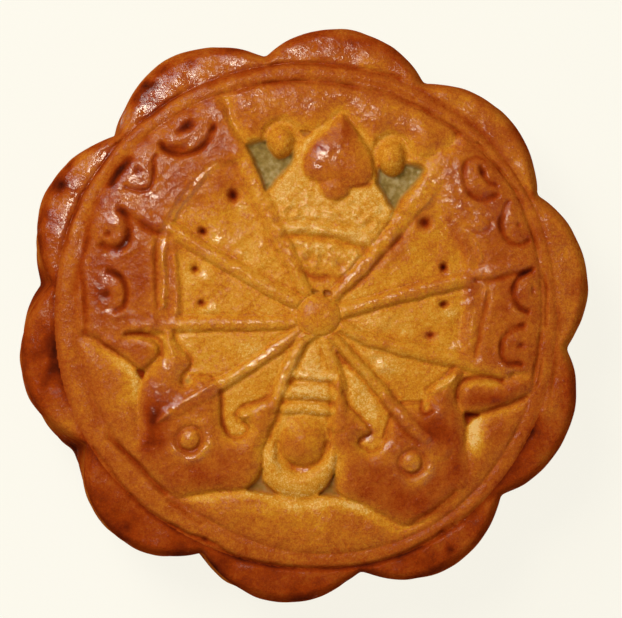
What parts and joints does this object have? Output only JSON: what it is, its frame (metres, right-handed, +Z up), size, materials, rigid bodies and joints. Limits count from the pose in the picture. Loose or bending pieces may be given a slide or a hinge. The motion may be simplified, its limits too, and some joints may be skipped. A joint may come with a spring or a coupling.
{
  "type": "mooncake",
  "caption": "Round baked mooncake with a scalloped wall and a butterfly pressed into its top inside a raised ring, glazed brown crust, flat base.",
  "frame": {"origin": "centre of the flat base, under the middle of the cake's bounding box", "axes": "+Z up out of the patterned top; +Y towards the butterfly's head; +X to its right as seen from above"},
  "size_m": [0.0792, 0.0798, 0.032],
  "materials": {
    "crust": null
  },
  "bodies": {
    "root": {"mooncake": "crust"}
  },
  "joints": []
}
